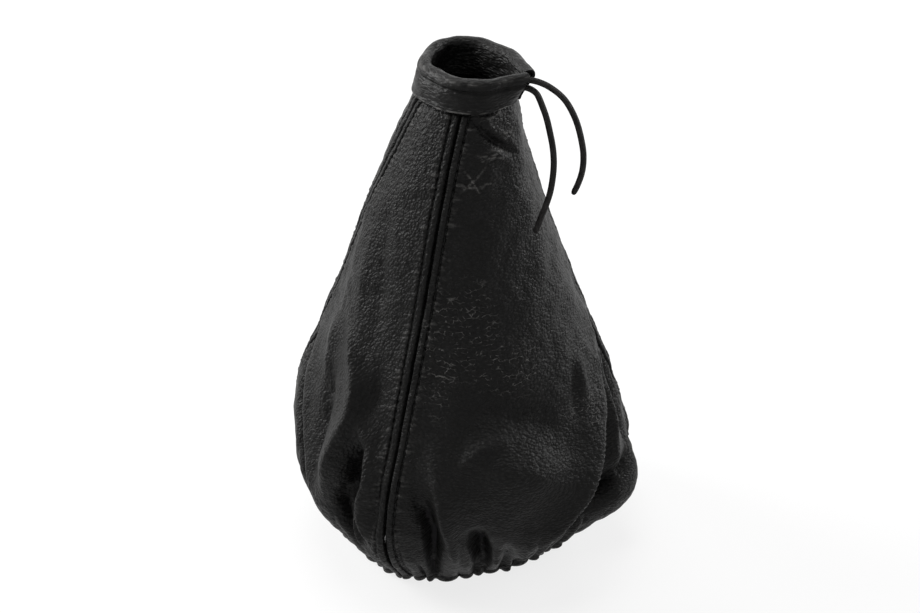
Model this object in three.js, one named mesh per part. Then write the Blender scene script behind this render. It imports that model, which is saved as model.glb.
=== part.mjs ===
// A leather gear lever gaiter, standing on its gathered hem: four sewn panels, a folded
// collar with a drawstring lace, an elastic cord in the hem, and the rows of thread.
// Millimetres, +Z up. The origin is on the surface that the hem stands on, at the middle.
// Angles are seen from above: 0 is the front (-Y), 90 is the right side (+X).
import * as THREE from "three";

// Overall form
const collarTop = 235; // the collar's crest
const collarHeight = 14; // crest to the collar's lower edge
const bellyRadius = 79;
const bellyHeight = 44; // where the skirt is widest
const shoulderHeight = 66; // the belly's bend ends here and the straight cone starts
const hemRadius = 54.3; // outer face where the skirt meets the hem
const neckHalfWidth = 21.6; // left to right, at the top of the panels
const neckHalfDepth = 24.3; // front to back
const coneSag = 1.5; // how far the cone's flanks hang in
const bodyShift = -3; // the skirt stands this far along X
const leanHeight = 150; // the neck leans over above this height
const neckLean = { x: 7.5, y: 2.2 }; // how far, at the collar's crest
const leanCurve = 2.5; // the lean grows with this power of the height
const neckBlendShare = 0.6; // of the height: round below, the neck's outline above

// Collar slit, where the two ends of the collar meet in a corner
const slitAngle = 58;
const slitFit = 0.6; // between the lace and each of the collar's two ends
const collarColumns = 53; // of points round the collar
const crowding = 0.6; // how much closer together they are at the slit
const innerLeafLonger = 1.5; // the inner leaf ends lower than the outer one
const collarStitchUp = 1.8; // its row of stitches, from the lower edge
const collarStitchEnd = 1.5; // and from the slit
const cornerReach = 7; // the corner stands this far past the neck's oval, at the crest
const cornerStart = 1.5; // and at the collar's lower edge
const cornerSpread = 18; // degrees

// Where the neck's outline leaves its oval: angle, how far outwards, width in degrees
const neckDents = [
  { at: -46, out: -1.6, wide: 20 },
  { at: 16, out: 2, wide: 18 },
  { at: 143, out: -4.2, wide: 38 },
  { at: 210, out: 1.2, wide: 20 },
];

// Leather and thread
const leather = 1.0; // thickness
const collarLeather = 1.1;
const seamAllowance = 7; // turned back inside along each seam
const middleColumns = 12; // of points across each panel
const topstitchOffset = 3.8; // row of stitches, from the seam
const threadRadius = 0.3;
const fit = 0.35; // clearance between touching pieces
const tunnelFit = 0.5; // round the elastic and the lace
const neckFit = 0.6; // between the panels and the collar

// Hem with its elastic, and lace
const elasticRadius = 1.1;
const hemEdge = 5.5; // width of the raw edge above the elastic
const hemEdgeSlope = 63; // degrees, up and outwards
const hemStitchHeight = 7;
const hemStitchFit = 0.5; // the gathers under it
const topstitchEnd = 1.5; // the rows beside the seams stop this far above it
const ringPoints = 80; // along the elastic and the hem's row of stitches
const panelTuck = 4; // the panels go this far up inside the collar
const laceRadius = 1.4;

// Seams: the angle at the neck and at the hem, and how far the middle bows from that
const seams = [
  { name: "front", top: -5, bottom: -24, bow: -4.5 },
  { name: "right", top: 104, bottom: 93, bow: 0 },
  { name: "back", top: 194, bottom: 172, bow: 0 },
  { name: "left", top: 290, bottom: 252, bow: -6 },
];
const panelNames = ["front_right_panel", "back_right_panel", "back_left_panel", "front_left_panel"];

// Soft folds of the skirt: angle and height of the middle, depth outwards,
// width in degrees, height of the fold, and lean in degrees per millimetre of height
const folds = [
  { at: -37, z: 46, out: -8, wide: 10, tall: 24, lean: 0.1 },
  { at: -28, z: 50, out: 2.5, wide: 8.5, tall: 28, lean: -0.1 },
  { at: -47, z: 70, out: 2.5, wide: 11, tall: 45, lean: 0 },
  { at: -66, z: 60, out: -4, wide: 10, tall: 36.5, lean: -0.3 },
  { at: -97, z: 35, out: -5, wide: 35, tall: 31, lean: 0 },
  { at: -97, z: 80, out: 2.5, wide: 28, tall: 25, lean: 0 },
  { at: -10, z: 40, out: -4, wide: 8.5, tall: 21, lean: 0 },
  { at: 6, z: 36, out: -5, wide: 8.5, tall: 19.5, lean: 0 },
  { at: 24, z: 62, out: 2.5, wide: 21, tall: 31, lean: 0 },
  { at: 44, z: 46, out: 3, wide: 10, tall: 25, lean: 0.5 },
  { at: 60, z: 42, out: -8, wide: 10.5, tall: 24, lean: 0.4 },
  { at: 79, z: 27, out: 8, wide: 12.5, tall: 25, lean: 0.1 },
  { at: 92, z: 38, out: -3, wide: 8.5, tall: 22.5, lean: 0 },
  { at: 106, z: 26, out: 8, wide: 14, tall: 28, lean: 0 },
  { at: 92, z: 92, out: 1.8, wide: 31, tall: 28, lean: 0 },
  { at: 128, z: 44, out: -6, wide: 10, tall: 31, lean: 0.1 },
  { at: 148, z: 50, out: -4, wide: 10, tall: 28, lean: -0.1 },
  { at: 178, z: 42, out: -6, wide: 10, tall: 25, lean: 0.1 },
  { at: 203, z: 50, out: -5, wide: 10, tall: 33.5, lean: -0.2 },
  { at: 228, z: 44, out: -5, wide: 10, tall: 25, lean: 0.1 },
];

// The hem's ring leaves its circle here: angle, how far outwards, width in degrees
const hemDents = [
  { at: -24, out: 3, wide: 20 },
  { at: 26, out: -2.5, wide: 20 },
];

// Colours and finishes
const grainLeather = () => new THREE.MeshStandardMaterial({ color: 0x272625, roughness: 0.52 });
const laceLeather = () => new THREE.MeshStandardMaterial({ color: 0x1d1c1b, roughness: 0.6 });
const sewingThread = () => new THREE.MeshStandardMaterial({ color: 0x141414, roughness: 0.75 });
const elasticCord = () => new THREE.MeshStandardMaterial({ color: 0x1b1b1c, roughness: 0.85 });

// Worked-out sizes
const neckHeight = collarTop - collarHeight;
const hemRoll = elasticRadius + tunnelFit + 2 * leather; // outer radius of the hem round its elastic
const hemStart = -35; // angle, in section, where the skirt turns into the hem
const hemMeets = hemRoll * (1 + Math.sin(THREE.MathUtils.degToRad(hemStart)));
const panelTop = neckHeight + panelTuck;
const coneRun = neckHeight - shoulderHeight + (shoulderHeight - bellyHeight) / 2;
const neckRadius = (neckHalfWidth + neckHalfDepth) / 2;
const neckBlendHeight = neckHeight * neckBlendShare;
const slitGap = 2 * (laceRadius + slitFit);
const coneSlope = (bellyRadius - neckRadius) / coneRun;

const rad = THREE.MathUtils.degToRad;
const clamp = THREE.MathUtils.clamp;
const mix = THREE.MathUtils.lerp;
const bell = (x, width) => Math.exp(-((x / width) ** 2));
const turn = (a) => THREE.MathUtils.euclideanModulo(a + 180, 360) - 180;
const range = (n) => Array.from({ length: n }, (_, i) => i);

// The skirt's plain radius at a height, with no folds
function profile(z) {
  if (z < bellyHeight) {
    const rise = Math.max(z, 0) / bellyHeight;
    return hemRadius + (bellyRadius - hemRadius) * Math.sin((Math.PI / 2) * rise);
  }
  const bend = shoulderHeight - bellyHeight;
  const drop = (coneSlope * bend) / 2;
  if (z < shoulderHeight) return bellyRadius - drop * ((z - bellyHeight) / bend) ** 2;
  const climb = (z - shoulderHeight) / (neckHeight - shoulderHeight);
  const sag = coneSag * Math.sin(Math.PI * Math.min(climb, 1));
  return bellyRadius - drop - coneSlope * (z - shoulderHeight) - sag;
}

function dentsAt(dents, angle) {
  return dents.reduce((sum, d) => sum + d.out * bell(turn(angle - d.at), d.wide), 0);
}

// The neck's outline: an uneven oval, drawn out to a corner at the slit
function neckOutline(angle, z) {
  const oval = 1 / Math.hypot(Math.sin(rad(angle)) / neckHalfWidth, Math.cos(rad(angle)) / neckHalfDepth);
  const reach = mix(cornerStart, cornerReach, clamp((z - neckHeight) / (rollHeight - neckHeight), 0, 1));
  return oval + dentsAt(neckDents, angle) + reach * bell(turn(angle - slitAngle), cornerSpread);
}

function foldDepth(angle, z) {
  const uneven = dentsAt(hemDents, angle) * bell(z, bellyHeight);
  return folds.reduce((sum, f) => {
    const across = turn(angle - f.at - f.lean * (z - f.z));
    return sum + f.out * bell(across, f.wide) * bell(z - f.z, f.tall);
  }, uneven);
}

// Middle of the gaiter at a height
function middle(z) {
  const lean = clamp((z - leanHeight) / (collarTop - leanHeight), 0, 1) ** leanCurve;
  return new THREE.Vector3(bodyShift + neckLean.x * lean, neckLean.y * lean, z);
}

// Level direction away from the middle
const outwards = (angle) => new THREE.Vector3(Math.sin(rad(angle)), -Math.cos(rad(angle)), 0);

// A point of the panels' grain face, and of the same surface carried on up to the crest
function skin(angle, z) {
  const share = clamp((z - neckBlendHeight) / (neckHeight - neckBlendHeight), 0, 1) ** 2;
  const change = neckOutline(angle, z) - profile(neckHeight);
  const radius = profile(Math.min(z, neckHeight)) + change * share + foldDepth(angle, z);
  return middle(z).addScaledVector(outwards(angle), radius);
}

// The way out of the grain face; level from the neck up, where the collar holds it
function skinNormal(angle, z) {
  const round = skin(angle + 0.5, z).sub(skin(angle - 0.5, z));
  const up = skin(angle, z + 0.5).sub(skin(angle, z - 0.5));
  if (z >= neckHeight) up.set(0, 0, 1);
  return round.cross(up).normalize();
}

function seamAngle(seam, z) {
  const share = clamp(z / neckHeight, 0, 1);
  return mix(seam.bottom, seam.top, share) + seam.bow * Math.sin(Math.PI * share);
}

// A closed solid through loops of points. Without ends it is a ring. Each of the ends'
// parts is a list of places in the loop, drawn flat as [place, Vector2] pairs.
function loft(loops, ends) {
  const count = loops[0].length;
  const points = loops.flat();
  const faces = [];
  const quad = (a, b, c, d) => faces.push(a, b, c, a, c, d);
  const rows = ends ? loops.length - 1 : loops.length;
  for (const i of range(rows)) {
    const next = (i + 1) % loops.length;
    for (const j of range(count)) {
      const k = (j + 1) % count;
      quad(i * count + j, next * count + j, next * count + k, i * count + k);
    }
  }
  const last = (loops.length - 1) * count;
  for (const part of ends ?? []) {
    const drawn = part.map(([, flat]) => flat);
    for (const corners of THREE.ShapeUtils.triangulateShape(drawn, [])) {
      const [a, b, c] = corners.map((n) => part[n][0]);
      faces.push(a, b, c, last + a, last + c, last + b);
    }
  }
  return closed(points, faces);
}

// Geometry of the points and faces, turned to face outwards
function closed(points, faces) {
  const volume = range(faces.length / 3).reduce((sum, i) => {
    const [a, b, c] = faces.slice(3 * i, 3 * i + 3).map((n) => points[n]);
    return sum + a.dot(b.clone().cross(c));
  }, 0);
  const geometry = new THREE.BufferGeometry().setFromPoints(points);
  geometry.setIndex(volume < 0 ? faces.slice().reverse() : faces);
  geometry.computeVertexNormals();
  return geometry;
}

// The turn that a length along the leather makes, at an angle and height
function degreesFor(length, angle, z) {
  const step = skin(angle + 0.5, z).distanceTo(skin(angle - 0.5, z));
  return length / step;
}

// One panel's section from seam to seam: from is the seam that a distance is taken
// from, or null for a share of the leather between the two allowances. depth is in
// thicknesses below the grain face. The folded edges meet in a groove.
function panelSection() {
  const share = range(middleColumns).map((i) => ({ from: null, at: (i + 1) / (middleColumns + 1) }));
  const near = (at, depth) => ({ from: 0, at, depth });
  const far = (at, depth) => ({ from: 1, at, depth });
  const edge = fit / 2;
  return [
    near(edge, 1),
    near(leather, 0),
    near(topstitchOffset, 0),
    near(seamAllowance, 0),
    ...share.map((s) => ({ ...s, depth: 0 })),
    far(seamAllowance, 0),
    far(topstitchOffset, 0),
    far(leather, 0),
    far(edge, 1),
    far(leather, 2),
    far(topstitchOffset, 2),
    far(seamAllowance, 2),
    far(seamAllowance, 1),
    ...share.map((s) => ({ ...s, depth: 1 })).reverse(),
    near(seamAllowance, 1),
    near(seamAllowance, 2),
    near(topstitchOffset, 2),
    near(leather, 2),
  ];
}

// Angle of a place in a panel's section, at a height
function sectionAngle(place, from, to, z) {
  const start = (mm) => from + degreesFor(mm, from, z);
  const end = (mm) => to - degreesFor(mm, to, z);
  if (place.from === 0) return start(place.at);
  if (place.from === 1) return end(place.at);
  return mix(start(seamAllowance), end(seamAllowance), place.at);
}

// The way from the panels' top down the skirt, round the elastic and up again, as
// steps: a height on the skirt, or an angle round the elastic, or the raw edge
const heightsBetween = (high, low, count) => range(count).map((i) => mix(high, low, (i + 1) / count));
const coneEnd = shoulderHeight + 10; // the steps are shorter below this
const openHeights = [
  ...heightsBetween(neckHeight, coneEnd, 7),
  ...heightsBetween(coneEnd, bellyHeight, 4),
  ...heightsBetween(bellyHeight, hemStitchHeight + topstitchEnd, 4),
];
const skirtSteps = [panelTop, neckHeight, ...openHeights, hemMeets].map((z) => ({ z }));
const hemSteps = [-60, -78, -102, -130, -165, -200].map((angle) => ({ angle }));
const panelSteps = [...skirtSteps, ...hemSteps, { angle: -215, rise: hemEdge }];

// Middle of the elastic at an angle
function hemCentre(angle) {
  const start = skin(angle, hemMeets);
  return start.addScaledVector(outwards(angle), -hemRoll * Math.cos(rad(hemStart))).setZ(hemRoll);
}

function panelPoint(step, angle, depth) {
  if (step.z !== undefined) {
    return skin(angle, step.z).addScaledVector(skinNormal(angle, step.z), -depth);
  }
  const out = outwards(angle);
  const point = hemCentre(angle).addScaledVector(out, (hemRoll - depth) * Math.cos(rad(step.angle)));
  const flat = step.angle > -110 && step.angle < -70; // the hem lies flat here
  point.z += flat ? depth - hemRoll : (hemRoll - depth) * Math.sin(rad(step.angle));
  if (step.rise) {
    point.addScaledVector(out, step.rise * Math.cos(rad(hemEdgeSlope)));
    point.z += step.rise * Math.sin(rad(hemEdgeSlope));
  }
  return point;
}

function panel(seamA, seamB) {
  const section = panelSection();
  const loops = panelSteps.map((step) => {
    const z = step.z ?? hemMeets;
    const [from, to] = panelEdges(seamA, seamB, z);
    return section.map((p) => panelPoint(step, sectionAngle(p, from, to, z), p.depth * leather));
  });
  return loft(loops, panelEnds(section));
}

// The cut ends of a panel, in parts no wider than one column, so that they stay on
// its curve: an allowance of doubled leather, then the single leather, then the other
function panelEnds(section) {
  const count = section.length;
  const drawn = section.map((p, i) => [i, new THREE.Vector2(p.from === 1 ? -p.at : p.at, p.depth)]);
  const outer = count / 2 - 4; // the grain face's first place in the far allowance
  const near = [0, 1, 2, 3, count - 4, count - 3, count - 2, count - 1];
  const far = range(8).map((i) => outer + i);
  return [near.map((n) => drawn[n]), far.map((n) => drawn[n]), ...facingParts(3, count - 4, outer - 3)];
}

// Four-cornered parts of an end, between two faces of the section that run along
// each other: one face's places count up from the first, the other's down from the last
function facingParts(first, last, number) {
  const square = [[0, 0], [1, 0], [1, 1], [0, 1]].map(([x, y]) => new THREE.Vector2(x, y));
  return range(number).map((i) =>
    [first + i, first + i + 1, last - i - 1, last - i].map((place, corner) => [place, square[corner]]),
  );
}

// The two seams of a panel at a height, the second one always the larger angle
function panelEdges(seamA, seamB, z) {
  const from = seamAngle(seamA, z);
  const to = seamAngle(seamB, z);
  return [from, to < from ? to + 360 : to];
}

// A tube through the points, round the way the two given directions point
function tube(path, radius, sides, isRing) {
  const loops = path.map(({ point, across, out }) =>
    range(sides).map((i) => {
      const a = (2 * Math.PI * i) / sides;
      return point
        .clone()
        .addScaledVector(across, radius * Math.cos(a))
        .addScaledVector(out, radius * Math.sin(a));
    }),
  );
  const drawn = range(sides).map((i) => {
    const a = (2 * Math.PI * i) / sides;
    return [i, new THREE.Vector2(Math.cos(a), Math.sin(a))];
  });
  return loft(loops, isRing ? null : [drawn]);
}

// A row of topstitching beside a seam, on the side given by -1 or 1
function topstitchRow(seam, side) {
  const top = neckHeight - fit - threadRadius;
  const path = [top, ...openHeights].map((z) => {
    const centre = seamAngle(seam, z);
    const angle = centre + side * degreesFor(topstitchOffset, centre, z);
    const out = skinNormal(angle, z);
    const point = skin(angle, z).addScaledVector(out, threadRadius + fit);
    const across = new THREE.Vector3(Math.cos(rad(angle)), Math.sin(rad(angle)), 0);
    return { point, across, out };
  });
  return tube(path, threadRadius, 5, false);
}

// A ring of thread round the skirt, just above the elastic
function hemStitchRing() {
  const path = range(ringPoints).map((i) => {
    const angle = (360 * i) / ringPoints;
    const out = skinNormal(angle, hemStitchHeight);
    const point = skin(angle, hemStitchHeight).addScaledVector(out, threadRadius + hemStitchFit);
    return { point, across: new THREE.Vector3(0, 0, 1), out };
  });
  return tube(path, threadRadius, 5, true);
}

function elasticRing() {
  const path = range(ringPoints).map((i) => {
    const angle = (360 * i) / ringPoints;
    return { point: hemCentre(angle), across: new THREE.Vector3(0, 0, 1), out: outwards(angle) };
  });
  return tube(path, elasticRadius, 6, true);
}

// Places along the collar, from one side of its slit round to the other
function collarPlaces(gap) {
  const half = degreesFor(gap / 2, slitAngle, collarTop);
  return range(collarColumns).map((i) => {
    // closer together towards the slit, where the outline turns fastest
    const t = i / (collarColumns - 1);
    const eased = t - (crowding * Math.sin(2 * Math.PI * t)) / (2 * Math.PI);
    return slitAngle + half + eased * (360 - 2 * half);
  });
}

// Collar section, as [out of the panels' grain face, height]: one strip of leather
// folded over the panels' top edge and the lace
const leafOut = neckFit + collarLeather; // the outer leaf's grain face at its lower edge
const leafIn = -(2 * leather + neckFit + collarLeather); // the inner leaf's grain face
const rollRadius = laceRadius + tunnelFit + collarLeather;
const rollMiddle = leafOut - rollRadius;
const rollHeight = collarTop - rollRadius;

function collarSection() {
  const arc = (radius) =>
    range(7).map((i) => {
      const a = (Math.PI * i) / 6;
      return [rollMiddle + radius * Math.cos(a), rollHeight + radius * Math.sin(a)];
    });
  const innerEdge = neckHeight - innerLeafLonger;
  return [
    [leafOut, neckHeight],
    [leafOut, panelTop],
    ...arc(rollRadius),
    [leafIn, panelTop],
    [leafIn, neckHeight],
    [leafIn, innerEdge],
    [leafIn + collarLeather, innerEdge],
    [leafIn + collarLeather, neckHeight],
    [leafIn + collarLeather, panelTop],
    ...arc(rollRadius - collarLeather).reverse(),
    [leafOut - collarLeather, panelTop],
    [leafOut - collarLeather, neckHeight],
  ];
}

const collarNormal = (angle, z) => skinNormal(angle, Math.max(z, neckHeight));
const collarPoint = (angle, out, z) => skin(angle, z).addScaledVector(collarNormal(angle, z), out);

function collar() {
  const section = collarSection();
  const loops = collarPlaces(slitGap).map((angle) => section.map(([out, z]) => collarPoint(angle, out, z)));
  return loft(loops, facingParts(0, section.length - 1, section.length / 2 - 1));
}

function collarStitchRow() {
  const height = neckHeight + collarStitchUp;
  const path = collarPlaces(slitGap + 2 * collarStitchEnd).map((angle) => {
    const point = collarPoint(angle, leafOut + threadRadius + fit, height);
    return { point, across: new THREE.Vector3(0, 0, 1), out: collarNormal(angle, height) };
  });
  return tube(path, threadRadius, 5, false);
}

// The lace: a round one of cut leather. It lies in the roll of the collar all the way
// round, and its two free ends come out of the slit.
const laceSides = 8;

function laceAlong(points) {
  const outline = new THREE.Shape(
    range(laceSides).map((i) => {
      const a = (2 * Math.PI * i) / laceSides;
      return new THREE.Vector2(laceRadius * Math.cos(a), laceRadius * Math.sin(a));
    }),
  );
  const curve = new THREE.CatmullRomCurve3(points);
  const steps = Math.ceil(curve.getLength() / (4 * laceRadius));
  return new THREE.ExtrudeGeometry(outline, { steps, extrudePath: curve, bevelEnabled: false });
}

const laceHeight = rollHeight + rollRadius - collarLeather - tunnelFit - laceRadius;

function laceInCollar() {
  const path = collarPlaces(slitGap + tunnelFit).map((angle) => {
    const point = collarPoint(angle, rollMiddle, laceHeight);
    return { point, across: new THREE.Vector3(0, 0, 1), out: collarNormal(angle, laceHeight) };
  });
  return tube(path, laceRadius, laceSides, false);
}

// The free ends' routes, chosen by hand, from the slit outwards
const longEndRoute = [
  [24.9, -12.1, 227.7],
  [26.8, -13.1, 227.8],
  [28.6, -14.0, 227.6],
  [31.6, -15.3, 225.8],
  [32.7, -15.7, 223.8],
  [33.6, -16.0, 221.6],
  [35.6, -17.1, 216.3],
  [37.4, -18.0, 209.2],
  [38.8, -19.2, 202.1],
  [39.3, -20.2, 195.4],
  [38.9, -21.4, 188.8],
  [37.7, -22.6, 181.8],
  [36.0, -23.8, 176.6],
  [33.9, -25.2, 171.4],
  [32.8, -26.2, 168.5],
  [31.6, -27.3, 165.4],
];
const shortEndRoute = [
  [27.3, -12.8, 231.3],
  [28.9, -13.7, 231.4],
  [30.6, -14.5, 231.4],
  [34.2, -15.7, 230.6],
  [36.1, -15.9, 229.7],
  [37.8, -16.0, 228.6],
  [41.6, -16.0, 225.5],
  [43.7, -16.0, 223.1],
  [45.5, -16.0, 220.3],
  [47.1, -16.0, 217.2],
  [48.5, -16.0, 213.9],
  [50.9, -16.0, 205.5],
  [52.2, -16.0, 197.4],
  [51.8, -16.0, 189.3],
  [50.2, -16.0, 183.5],
  [48.2, -16.0, 178.7],
];
const laceRoute = (route) => laceAlong(route.map((p) => new THREE.Vector3(...p)));

const gaiter = new THREE.Group();
function add(name, geometry, material) {
  const mesh = new THREE.Mesh(geometry, material);
  mesh.name = name;
  gaiter.add(mesh);
}

panelNames.forEach((name, i) => add(name, panel(seams[i], seams[(i + 1) % 4]), grainLeather()));
add("collar", collar(), grainLeather());
add("lace_in_collar", laceInCollar(), laceLeather());
add("lace_long_end", laceRoute(longEndRoute), laceLeather());
add("lace_short_end", laceRoute(shortEndRoute), laceLeather());
add("hem_elastic", elasticRing(), elasticCord());
for (const seam of seams) {
  add(`${seam.name}_topstitch_left`, topstitchRow(seam, -1), sewingThread());
  add(`${seam.name}_topstitch_right`, topstitchRow(seam, 1), sewingThread());
}
add("hem_stitching", hemStitchRing(), sewingThread());
add("collar_stitching", collarStitchRow(), sewingThread());

export default gaiter;
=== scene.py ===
"""A black leather gear lever gaiter with a drawstring collar, standing on its gathered hem."""
import math

import bmesh
import bpy
import numpy as np
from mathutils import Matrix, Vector


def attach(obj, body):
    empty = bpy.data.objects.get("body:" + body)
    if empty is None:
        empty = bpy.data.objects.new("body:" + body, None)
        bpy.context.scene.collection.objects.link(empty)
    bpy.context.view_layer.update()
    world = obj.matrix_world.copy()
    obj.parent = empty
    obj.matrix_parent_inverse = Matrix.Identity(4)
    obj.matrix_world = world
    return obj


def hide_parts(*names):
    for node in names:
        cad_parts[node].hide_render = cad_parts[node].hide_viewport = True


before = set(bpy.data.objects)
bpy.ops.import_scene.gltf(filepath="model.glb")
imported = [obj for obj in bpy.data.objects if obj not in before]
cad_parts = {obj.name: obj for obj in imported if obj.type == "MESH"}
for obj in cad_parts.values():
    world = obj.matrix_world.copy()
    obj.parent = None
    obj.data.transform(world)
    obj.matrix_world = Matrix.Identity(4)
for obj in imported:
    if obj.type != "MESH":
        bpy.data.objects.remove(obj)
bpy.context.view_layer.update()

# Sizes in millimetres and angles in degrees, as in the CAD. Angles are seen from above:
# 0 is the front (-Y), 90 is the right side (+X).
MM = 0.001
COLLAR_TOP = 235.0
COLLAR_HEIGHT = 14.0
BELLY_RADIUS = 79.0
BELLY_HEIGHT = 44.0
SHOULDER_HEIGHT = 66.0
HEM_RADIUS = 54.3
NECK_HALF_WIDTH = 21.6
NECK_HALF_DEPTH = 24.3
CONE_SAG = 1.5
BODY_SHIFT = -3.0
LEAN_HEIGHT = 150.0
NECK_LEAN = (7.5, 2.2)
LEAN_CURVE = 2.5
NECK_BLEND_SHARE = 0.6
SLIT_ANGLE = 58.0
CORNER_REACH = 7.0
CORNER_START = 1.5
CORNER_SPREAD = 18.0
LEATHER = 1.0
COLLAR_LEATHER = 1.1
SEAM_ALLOWANCE = 7.0
TOPSTITCH_OFFSET = 3.8
TUNNEL_FIT = 0.5
NECK_FIT = 0.6
ELASTIC_RADIUS = 1.1
HEM_EDGE = 5.5
HEM_EDGE_SLOPE = 63.0
PANEL_TUCK = 4.0
LACE_RADIUS = 1.4
SLIT_GAP = 4.0

NECK_HEIGHT = COLLAR_TOP - COLLAR_HEIGHT
HEM_ROLL = ELASTIC_RADIUS + TUNNEL_FIT + 2 * LEATHER
HEM_START = -35.0
HEM_MEETS = HEM_ROLL * (1 + math.sin(math.radians(HEM_START)))
PANEL_TOP = NECK_HEIGHT + PANEL_TUCK
CONE_RUN = NECK_HEIGHT - SHOULDER_HEIGHT + (SHOULDER_HEIGHT - BELLY_HEIGHT) / 2
NECK_RADIUS = (NECK_HALF_WIDTH + NECK_HALF_DEPTH) / 2
NECK_BLEND_HEIGHT = NECK_HEIGHT * NECK_BLEND_SHARE
CONE_SLOPE = (BELLY_RADIUS - NECK_RADIUS) / CONE_RUN
LEAF_OUT = NECK_FIT + COLLAR_LEATHER
LEAF_IN = -(2 * LEATHER + NECK_FIT + COLLAR_LEATHER)
ROLL_RADIUS = LACE_RADIUS + TUNNEL_FIT + COLLAR_LEATHER
ROLL_MIDDLE = LEAF_OUT - ROLL_RADIUS
ROLL_HEIGHT = COLLAR_TOP - ROLL_RADIUS

# The hem: where the row of stitches pinches it, where the roll round the elastic starts and
# ends, the roll's size in a crease, and a ruffle's reach
PINCH_HEIGHT = 4.6
PINCH_BLEND = 3.0
ROLL_TOP_TURN = 12.0
ROLL_END_TURN = HEM_START - 180.0
CREASED_ROLL = 2.2
RUFFLE_REACH = 6.4

# The hem's ruffles: half the broad one at each seam and the others' widths, in degrees, how
# full they are, how far up they run, and how deep they are on the skirt
HEM_SEED = 11
SEAM_RUFFLE = 4.6
RUFFLE_PITCH = 6.8
RUFFLE_WIDTHS = (3.0, 10.5)
RUFFLE_FULLNESS = (0.62, 1.15)
RUFFLE_RUN = (7.0, 26.0)
RUFFLE_DEPTH = 5.0

# Relief across a seam: how far outwards and how wide each part of it is
SEAM_GROOVE = (-1.7, 0.5)
SEAM_STRIP = (0.6, 0.8)
STRIP_EDGE = (3.4, 0.2)
SUNK_ROW = (-0.7, 0.42)
SEAM_LIP = (0.2, 1.4)
LIP_PLACE = 5.4
HOLE_DEPTH = -0.9
DOUBLED_LEATHER = 1.9 * LEATHER

# Uneven lie of the leather: height, how far apart the bumps are, and the field's seed
PANEL_BUMPS = [(0.45, 9.0, 3), (0.16, 3.2, 4)]
CRUSHED_BUMPS = (0.5, 2.0, 5)
WOBBLE_WAVES = 28
COLLAR_BUMPS = [(0.26, 7.0, 21), (0.1, 2.6, 22)]

# Puckers beside the seams: the least and the most of each one's gap from the one before,
# height, reach, width and slope
PUCKER_GAPS = (1.2, 3.4)
PUCKER_HEIGHTS = (0.15, 0.65)
PUCKER_REACHES = (1.8, 5.0)
PUCKER_WIDTHS = (0.45, 0.75)
PUCKER_SLOPES = (-0.3, 0.3)

# A stitch: as shares of the pitch along the row, and in thread radii above the leather
STITCH_PITCH = 4.1
THREAD_RADIUS = 0.25
STITCH_SHAPE = [
    (-0.41, -1.6),
    (-0.36, -0.5),
    (-0.18, 0.55),
    (0.0, 0.75),
    (0.18, 0.55),
    (0.36, -0.5),
    (0.41, -1.6),
]

# How fine the meshes are. The skirt's rows lie closer below LOW_START.
PANEL_COLUMNS = 151
SKIRT_ROWS = 291
LOW_START = 26.0
LOW_ROWS = 50
HEM_ROWS = 25
EDGE_ROWS = 5
NEAR_SEAM = 12.0
TOPSTITCH_POINTS = (300, 23)
TOPSTITCH_BEND = 12.0
HEM_STITCH_POINTS = 900
COLLAR_COLUMNS = 401
COLLAR_STITCH_POINTS = 700
LEAF_ROWS = 28
ROLL_ROWS = 25
INNER_LEAF_ROWS = 24
HIDDEN_CORD_POINTS = 240
LACE_SIDES = 12
ELASTIC_SIDES = 10
STITCH_SIDES = 6

# Each panel lies on its own part of the hide, so that the grain differs
HIDE_STEP = 200

# How far apart the lace's rings lie, and how the last three narrow
LACE_STEP = 0.8
LACE_TIP = (0.97, 0.86, 0.6)

# How much higher the collar is at the back, and the height of the line under the lace
COLLAR_BACK_RISE = 1.0
CORD_LINE = COLLAR_TOP - 4.9

# Each seam's angle at the neck and at the hem, and how far its middle bows
SEAMS = {"front": (-5, -24, -4.5), "right": (104, 93, 0), "back": (194, 172, 0), "left": (290, 252, -6)}

# Wide dents and bulges of the neck and the hem: angle, how far outwards, width in degrees
NECK_DENTS = [(-46, -1.6, 20), (16, 2, 18), (143, -4.2, 38), (210, 1.2, 20)]
HEM_DENTS = [(-24, 3, 20), (26, -2.5, 20)]

# The skirt's main folds: angle, height, depth outwards, width in degrees, how tall, and
# lean in degrees per millimetre
FOLDS = [
    (-37, 46, -8, 10, 24, 0.1),
    (-28, 50, 2.5, 8.5, 28, -0.1),
    (-47, 70, 2.5, 11, 45, 0),
    (-66, 60, -4, 10, 36.5, -0.3),
    (-97, 35, -5, 35, 31, 0),
    (-97, 80, 2.5, 28, 25, 0),
    (-10, 40, -4, 8.5, 21, 0),
    (6, 36, -5, 8.5, 19.5, 0),
    (24, 62, 2.5, 21, 31, 0),
    (44, 46, 3, 10, 25, 0.5),
    (60, 42, -8, 10.5, 24, 0.4),
    (79, 27, 8, 12.5, 25, 0.1),
    (92, 38, -3, 8.5, 22.5, 0),
    (106, 26, 8, 14, 28, 0),
    (92, 92, 1.8, 31, 28, 0),
    (128, 44, -6, 10, 31, 0.1),
    (148, 50, -4, 10, 28, -0.1),
    (178, 42, -6, 10, 25, 0.1),
    (203, 50, -5, 10, 33.5, -0.2),
    (228, 44, -5, 10, 25, 0.1),
]

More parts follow.
